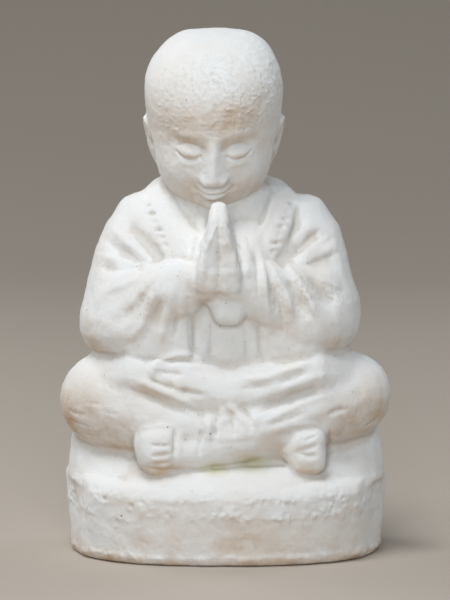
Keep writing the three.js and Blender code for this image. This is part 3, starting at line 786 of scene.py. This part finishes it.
# How deep each point lies in a hollow: the stone paints dust and shade there.
hollow = statue.data.attributes.new("hollow", "FLOAT", "POINT")
hollow.data.foreach_set("value", np.clip(depth * kept_dust_and_shade / HOLLOW_FULL, -1, 1).astype(np.float32))
# What faces down gets painted shade with a tan stain.
underside_shade_and_stain = statue.data.attributes.new("underside_shade_and_stain", "FLOAT", "POINT")
facing_down = np.clip(0.25 - normals[:, 2], 0, 1) * kept_dust_and_shade
underside_shade_and_stain.data.foreach_set("value", facing_down.astype(np.float32))

# Where rain and soil have left a tan stain, with painted shade under the knees, where fine dirt sits
# in rough hollows, and where green grows in the slits over the base: each a place, its spread and how
# strong it is.
TAN_STAINS_AND_SHADE = [
    ((-6, -52, 247), (28, 16, 11), 0.5),
    ((-82, -24, 86), (20, 22, 14), 0.76),
    # Under the left knee: a tan stain that also paints the shade under the knee.
    ((-68, -38, 72), (20, 18, 12), 0.46),
    ((76, -30, 82), (18, 20, 15), 0.38),
    # Under the right knee: a tan stain that also paints the shade under the knee.
    ((74, -34, 70), (20, 20, 12), 0.42),
    ((52, -48, 158), (15, 18, 13), 0.1),
    ((-38, -52, 55), (9, 12, 7), 0.3),
    ((-10, -60, 13), (70, 20, 10), 0.29),
    ((-72, -30, 5), (26, 34, 5), 0.45),
]
DIRT_STAINS = [
    ((45, -50, 153), (7, 14, 10), 0.6),
    ((62, -44, 152), (7, 14, 9), 0.65),
    ((-64, -42, 180), (8, 14, 5), 0.5),
    ((-74, -30, 168), (6, 14, 6), 0.4),
    ((-42, -50, 147), (8, 14, 10), 0.35),
    ((28, -50, 150), (4, 14, 12), 0.4),
    ((24, -36, 266), (14, 22, 15), 0.4),
    ((-8, -46, 268), (28, 16, 12), 0.34),
]
GREEN_STAINS = [((-6, -54, 54), (7, 12, 3), 0.8), ((15, -53, 56.4), (8, 12, 4), 0.9)]
for label, stains in (("tan", TAN_STAINS_AND_SHADE), ("dirt", DIRT_STAINS), ("green", GREEN_STAINS)):
    strength = np.zeros(count)
    for place, spread, amount in stains:
        gaps = (points - np.array(place)) / np.array(spread)
        strength = np.maximum(strength, amount * np.exp(-(gaps**2).sum(1)))
    stain = statue.data.attributes.new(label, "FLOAT", "POINT")
    stain.data.foreach_set("value", strength.astype(np.float32))

# ---- The stone ----
# A white mix of lime cement and marble dust, matt and chalky, with pinholes where air was
# trapped. Dust and painted shade in hollows, painted shade with a tan stain on what faces down,
# tan rain stains with painted shade under the knees, soil round the foot and a faint green lie over it.


def new_group(name, inputs, outputs):
    """A shader node group with named inputs and outputs, and its first and last nodes."""
    group = bpy.data.node_groups.new(name, "ShaderNodeTree")
    for label, kind, value in inputs:
        socket = group.interface.new_socket(label, in_out="INPUT", socket_type=kind)
        if value is not None:
            socket.default_value = value
    for label, kind in outputs:
        group.interface.new_socket(label, in_out="OUTPUT", socket_type=kind)
    return group, group.nodes.new("NodeGroupInput"), group.nodes.new("NodeGroupOutput")


def node(tree, kind, **settings):
    """A node with its settings, and the values of its inputs given by name or place."""
    made = tree.nodes.new("ShaderNode" + kind)
    for key, value in settings.items():
        if key == "values":
            for place, number in value.items():
                made.inputs[place].default_value = number
        else:
            setattr(made, key, value)
    return made


def maths(tree, operation, *values):
    """One step of arithmetic on sockets or plain numbers."""
    step = node(tree, "Math", operation=operation)
    for place, value in enumerate(values):
        if isinstance(value, bpy.types.NodeSocket):
            tree.links.new(value, step.inputs[place])
        else:
            step.inputs[place].default_value = value
    return step.outputs[0]


def ramped(tree, value, low, high, first=0.0, last=1.0):
    """A value spread from low to high, held at its ends."""
    spread = node(tree, "MapRange", interpolation_type="SMOOTHSTEP")
    tree.links.new(value, spread.inputs["Value"])
    for label, number in zip(("From Min", "From Max", "To Min", "To Max"), (low, high, first, last)):
        spread.inputs[label].default_value = number
    return spread.outputs["Result"]


def pinholes():
    """Small round air holes, scattered at random: a mask that is 1 in a hole."""
    inputs = [
        ("Vector", "NodeSocketVector", None),
        ("Spacing", "NodeSocketFloat", 0.0075),
        ("Share", "NodeSocketFloat", 0.55),
    ]
    group, start, end = new_group("pinholes", inputs, [("Mask", "NodeSocketFloat")])
    scale = maths(group, "DIVIDE", 1.0, start.outputs["Spacing"])
    cells = node(group, "TexVoronoi", feature="F1")
    group.links.new(start.outputs["Vector"], cells.inputs["Vector"])
    group.links.new(scale, cells.inputs["Scale"])
    pick = node(group, "SeparateColor")
    group.links.new(cells.outputs["Color"], pick.inputs[0])
    chosen = maths(group, "LESS_THAN", pick.outputs[0], start.outputs["Share"])
    size = maths(group, "MULTIPLY", pick.outputs[1], 0.026)
    size = maths(group, "ADD", size, 0.02)
    share = maths(group, "DIVIDE", cells.outputs["Distance"], size)
    inside = ramped(group, share, 0.6, 1.1, 1.0, 0.0)
    group.links.new(maths(group, "MULTIPLY", inside, chosen), end.inputs["Mask"])
    return group


def stone_grain():
    """Chalky grain: a fine height, a slow mottle for colour, and two masks for fine dirt."""
    inputs = [("Vector", "NodeSocketVector", None)]
    outputs = [(label, "NodeSocketFloat") for label in ("Height", "Mottle", "Specks", "Grime")]
    group, start, end = new_group("stone grain", inputs, outputs)
    layers = {}
    for label, scale, detail in (("fine", 1500, 4), ("middle", 420, 5), ("slow", 38, 6)):
        layer = node(group, "TexNoise", values={"Scale": scale, "Detail": detail, "Roughness": 0.62})
        group.links.new(start.outputs["Vector"], layer.inputs["Vector"])
        layers[label] = layer.outputs["Fac"]
    height = maths(group, "MULTIPLY", layers["middle"], 0.7)
    height = maths(group, "ADD", height, maths(group, "MULTIPLY", layers["fine"], 0.3))
    group.links.new(height, end.inputs["Height"])
    group.links.new(ramped(group, layers["slow"], 0.35, 0.68), end.inputs["Mottle"])
    group.links.new(ramped(group, layers["middle"], 0.6, 0.74), end.inputs["Specks"])
    group.links.new(ramped(group, layers["middle"], 0.46, 0.62), end.inputs["Grime"])
    return group


def placed(tree, group, vector):
    """A node group in a material, on its coordinates."""
    made = tree.nodes.new("ShaderNodeGroup")
    made.node_tree = group
    tree.links.new(vector, made.inputs["Vector"])
    return made


def tinted(tree, colour, tint, amount):
    """A colour drawn towards a tint by a mask."""
    mix = node(tree, "Mix", data_type="RGBA")
    tree.links.new(amount, mix.inputs["Factor"])
    if isinstance(colour, bpy.types.NodeSocket):
        tree.links.new(colour, mix.inputs[6])
    else:
        mix.inputs[6].default_value = (*colour, 1)
    mix.inputs[7].default_value = (*tint, 1)
    return mix.outputs[2]


CHALK = (0.855, 0.873, 0.878)
CREAM = (0.842, 0.83, 0.806)
# Tan stains, soil and the painted shade on what faces down take this colour.
TAN = (0.60, 0.435, 0.285)
# Dust and painted shade in hollows, and the fine dirt, take this colour.
DUST_AND_SHADE = (0.53, 0.475, 0.41)
HOLE = (0.16, 0.12, 0.09)
MOSS = (0.60, 0.58, 0.34)
HOLE_DEEP = 1.2  # how much deeper than the grain
SOIL_HIGH = 0.009  # metres up the foot

stone = bpy.data.materials.new("white cast stone")
stone.use_nodes = True
tree = stone.node_tree
shader = tree.nodes["Principled BSDF"]
shader.inputs["Specular IOR Level"].default_value = 0.35
where = node(tree, "TexCoord").outputs["Object"]
grain = placed(tree, stone_grain(), where)
air = pinholes()
small = placed(tree, air, where)
small.inputs["Spacing"].default_value = 0.0075
small.inputs["Share"].default_value = 0.55
large = placed(tree, air, where)
large.inputs["Spacing"].default_value = 0.0135
large.inputs["Share"].default_value = 0.75
holes = maths(tree, "MAXIMUM", small.outputs["Mask"], large.outputs["Mask"])
# Painted shade and dust: hollows are drawn towards a darker, dustier colour.
deep = node(tree, "Attribute", attribute_name="hollow").outputs["Fac"]
hollow_dust_and_shade = maths(tree, "MULTIPLY", ramped(tree, deep, 0.05, 0.9), 0.45)
colour = tinted(tree, CHALK, CREAM, grain.outputs["Mottle"])
colour = tinted(tree, colour, DUST_AND_SHADE, hollow_dust_and_shade)
# Painted shade with a patchy tan stain on what faces down, with the tan stains added on top.
under = node(tree, "Attribute", attribute_name="underside_shade_and_stain").outputs["Fac"]
patchy = maths(tree, "MULTIPLY_ADD", grain.outputs["Mottle"], 0.45, 0.22)
shade_and_stains = maths(tree, "MULTIPLY", ramped(tree, under, 0.0, 1.0), patchy)
tan_stains_and_shade = node(tree, "Attribute", attribute_name="tan").outputs["Fac"]
tan_stains_and_shade = maths(tree, "MULTIPLY", tan_stains_and_shade, maths(tree, "MULTIPLY_ADD", grain.outputs["Mottle"], 0.9, 0.5))
shade_and_stains = maths(tree, "ADD", shade_and_stains, tan_stains_and_shade)
heights = node(tree, "SeparateXYZ")
tree.links.new(where, heights.inputs[0])
soil = ramped(tree, heights.outputs["Z"], 0.001, SOIL_HIGH, 0.95, 0.0)
soil = maths(tree, "MULTIPLY", soil, maths(tree, "MULTIPLY_ADD", grain.outputs["Mottle"], 0.8, 0.3))
colour = tinted(tree, colour, TAN, maths(tree, "MAXIMUM", shade_and_stains, soil))
algae = node(tree, "Attribute", attribute_name="green").outputs["Fac"]
colour = tinted(tree, colour, MOSS, algae)
specks = maths(tree, "MULTIPLY_ADD", ramped(tree, deep, 0.0, 0.5), 0.75, 0.25)
colour = tinted(tree, colour, DUST_AND_SHADE, maths(tree, "MULTIPLY", grain.outputs["Specks"], specks))
dirty = node(tree, "Attribute", attribute_name="dirt").outputs["Fac"]
colour = tinted(tree, colour, DUST_AND_SHADE, maths(tree, "MULTIPLY", grain.outputs["Grime"], dirty))
colour = tinted(tree, colour, HOLE, maths(tree, "MULTIPLY", holes, 0.75))
tree.links.new(colour, shader.inputs["Base Color"])
rough = ramped(tree, grain.outputs["Height"], 0.3, 0.7, 0.82, 0.96)
tree.links.new(rough, shader.inputs["Roughness"])
height = maths(tree, "SUBTRACT", grain.outputs["Height"], maths(tree, "MULTIPLY", holes, HOLE_DEEP))
bump = node(tree, "Bump", values={"Strength": 0.75, "Distance": 0.0007})
tree.links.new(height, bump.inputs["Height"])
tree.links.new(bump.outputs["Normal"], shader.inputs["Normal"])
statue.data.materials.clear()
statue.data.materials.append(stone)
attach(statue, "root")
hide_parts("statue")

# ---- The studio ----
# Pale paper lies under the statue and sweeps up behind it. A soft key lamp stands high at the
# front left, a cooler one in front, two edge lamps behind, and the sky is faint and even.
FLOOR_HALF = 4  # metres
FLOOR_SHIFT = -1
WALL_HIGH = 4
SWEEP_ROUND = 1.6
PAPER = (0.50, 0.445, 0.385)
LOOK_AT = Vector((-0.0006, 0, 0.1424))
LAMPS = (
    ("key", (-0.45, -0.65, 1.95), 0.8, 21.5, (0.99, 0.99, 0.985)),
    ("front", (-0.1, -2.1, 0.9), 0.9, 21.4, (0.925, 0.967, 1)),
    ("left edge", (-1.6, 1.0, 0.9), 0.9, 13, (1, 1, 1)),
    ("right edge", (1.6, 1.0, 0.9), 0.9, 10, (0.9, 0.95, 1)),
)

sweep = bmesh.new()
bmesh.ops.create_grid(sweep, x_segments=1, y_segments=1, size=FLOOR_HALF)
bmesh.ops.translate(sweep, verts=sweep.verts, vec=(0, FLOOR_SHIFT, 0))
behind = FLOOR_HALF + FLOOR_SHIFT - 0.1
far_edges = [edge for edge in sweep.edges if all(v.co.y > behind for v in edge.verts)]
raised = bmesh.ops.extrude_edge_only(sweep, edges=far_edges)["geom"]
risen = [item for item in raised if isinstance(item, bmesh.types.BMVert)]
bmesh.ops.translate(sweep, verts=risen, vec=(0, 0, WALL_HIGH))
bmesh.ops.bevel(
    sweep,
    geom=far_edges,
    offset=SWEEP_ROUND,
    segments=24,
    profile=0.5,
    affect="EDGES",
    material=-1,
)
floor_mesh = bpy.data.meshes.new("floor")
sweep.to_mesh(floor_mesh)
sweep.free()
floor_mesh.shade_smooth()
floor = bpy.data.objects.new("floor", floor_mesh)
bpy.context.scene.collection.objects.link(floor)
paper = bpy.data.materials.new("pale paper")
paper.use_nodes = True
matt = paper.node_tree.nodes["Principled BSDF"]
matt.inputs["Base Color"].default_value = (*PAPER, 1)
matt.inputs["Roughness"].default_value = 0.9
floor.data.materials.append(paper)

world = bpy.data.worlds.new("sky")
world.use_nodes = True
world.node_tree.nodes["Background"].inputs["Color"].default_value = (0.92, 0.95, 1, 1)
world.node_tree.nodes["Background"].inputs["Strength"].default_value = 0.07
bpy.context.scene.world = world
bpy.context.scene.view_settings.view_transform = "Standard"
for label, place, size, power, colour in LAMPS:
    lamp = bpy.data.lights.new(label, "AREA")
    lamp.size = size
    lamp.energy = power
    lamp.color = colour
    stand = bpy.data.objects.new(label, lamp)
    stand.location = place
    stand.rotation_euler = (LOOK_AT - Vector(place)).to_track_quat("-Z", "Y").to_euler()
    bpy.context.scene.collection.objects.link(stand)

# ---- The camera ----
# A long lens, a little above the middle of the statue and looking slightly down on it.
CAMERA_FAR = 2.2  # metres
CAMERA_TILT = math.radians(6.5)

lens = bpy.data.cameras.new("camera")
lens.lens = 232.8
lens.sensor_width = 36
camera = bpy.data.objects.new("camera", lens)
camera.location = LOOK_AT + CAMERA_FAR * Vector((0, -math.cos(CAMERA_TILT), math.sin(CAMERA_TILT)))
camera.rotation_euler = (math.pi / 2 - CAMERA_TILT, 0, 0)
bpy.context.scene.collection.objects.link(camera)
bpy.context.scene.camera = camera
